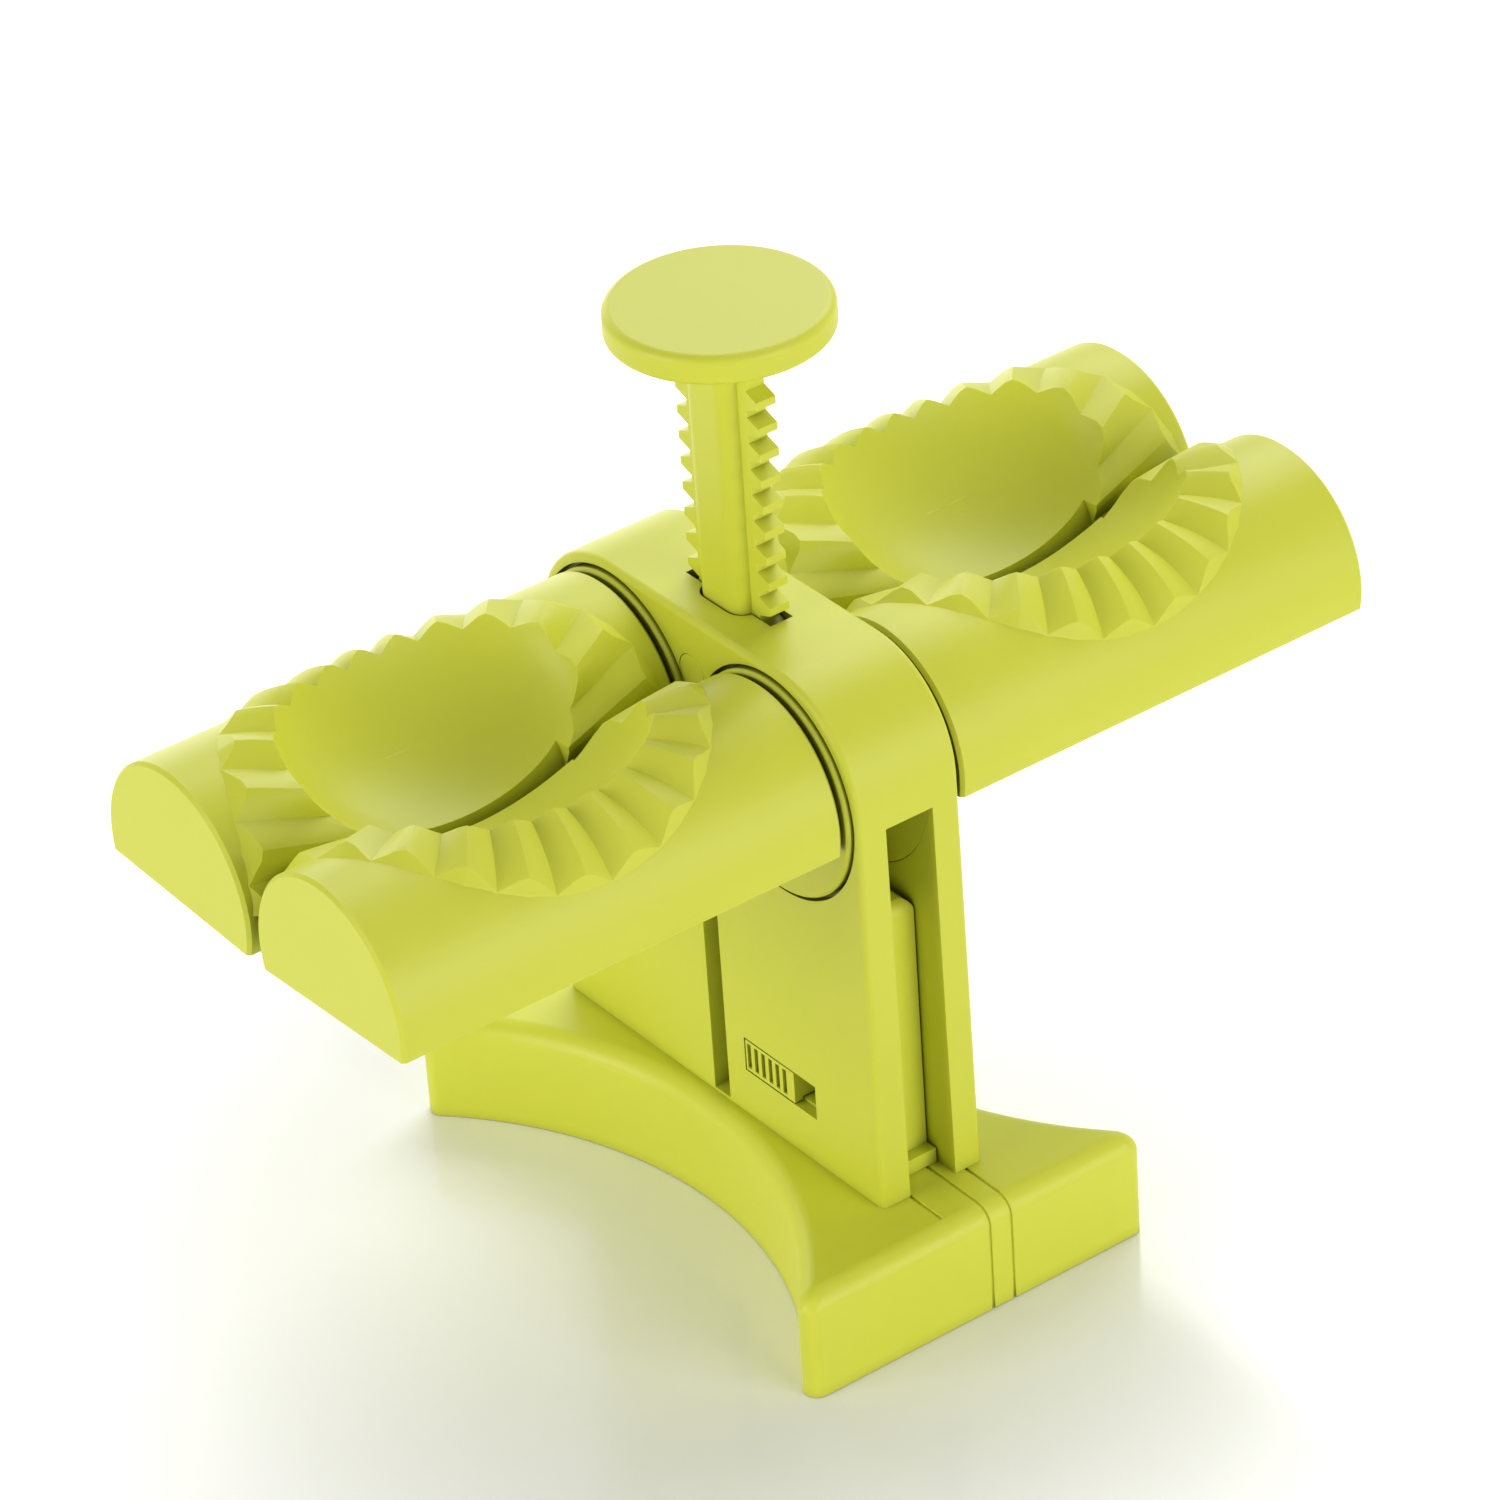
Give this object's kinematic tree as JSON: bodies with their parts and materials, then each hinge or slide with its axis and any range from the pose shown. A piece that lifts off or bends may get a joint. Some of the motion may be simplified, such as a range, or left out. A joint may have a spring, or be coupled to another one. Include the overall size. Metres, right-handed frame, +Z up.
{
  "type": "dumpling maker",
  "caption": "Press dumpling maker: a toothed plunger turns paired half-round moulds with bowls and crimp rings, so that they fold and seal wrappers; hourglass base.",
  "frame": {"origin": "middle of the base's underside", "axes": "+X along the moulds, -Y the front, +Z up along the plunger"},
  "size_m": [0.193, 0.109, 0.1674],
  "materials": {
    "lime_plastic": "satin moulded",
    "steel_screws": "zinc plated"
  },
  "bodies": {
    "stand": {"base_shell": "lime_plastic", "base_screws": "steel_screws", "front_guide_post": "lime_plastic", "rear_guide_post": "lime_plastic", "column_housing": "lime_plastic", "cheek_plugs": "lime_plastic"},
    "plunger": {"press_cap": "lime_plastic", "rack_bar": "lime_plastic"},
    "latch": {"lock_slider": "lime_plastic"},
    "front_roller": {"front_pinion": "lime_plastic", "front_left_disc": "lime_plastic", "front_right_disc": "lime_plastic", "front_disc_screws": "steel_screws", "front_left_mould": "lime_plastic", "front_right_mould": "lime_plastic", "front_left_cover": "lime_plastic", "front_right_cover": "lime_plastic"},
    "rear_roller": {"rear_pinion": "lime_plastic", "rear_left_disc": "lime_plastic", "rear_right_disc": "lime_plastic", "rear_disc_screws": "steel_screws", "rear_left_mould": "lime_plastic", "rear_right_mould": "lime_plastic", "rear_left_cover": "lime_plastic", "rear_right_cover": "lime_plastic"}
  },
  "joints": [
    {"name": "plunger_press", "type": "slide", "parent": "stand", "child": "plunger", "axis": [0, 0, -1], "range_m": [0, 0.03436]},
    {"name": "front_roll", "type": "hinge", "parent": "stand", "child": "front_roller", "pos_m": [0, -0.0209, 0.092], "axis": [-1, 0, 0], "range_deg": [0, 175]},
    {"name": "rear_roll", "type": "hinge", "parent": "stand", "child": "rear_roller", "pos_m": [0, 0.0209, 0.092], "axis": [1, 0, 0], "range_deg": [0, 175]},
    {"name": "lock_slide", "type": "slide", "parent": "stand", "child": "latch", "axis": [0, -1, 0], "range_m": [0, 0.0055]}
  ],
  "couplings": [
    {"joint": "front_roll", "follows": "plunger_press", "rad_per_m": 88.889},
    {"joint": "rear_roll", "follows": "plunger_press", "rad_per_m": 88.889}
  ]
}
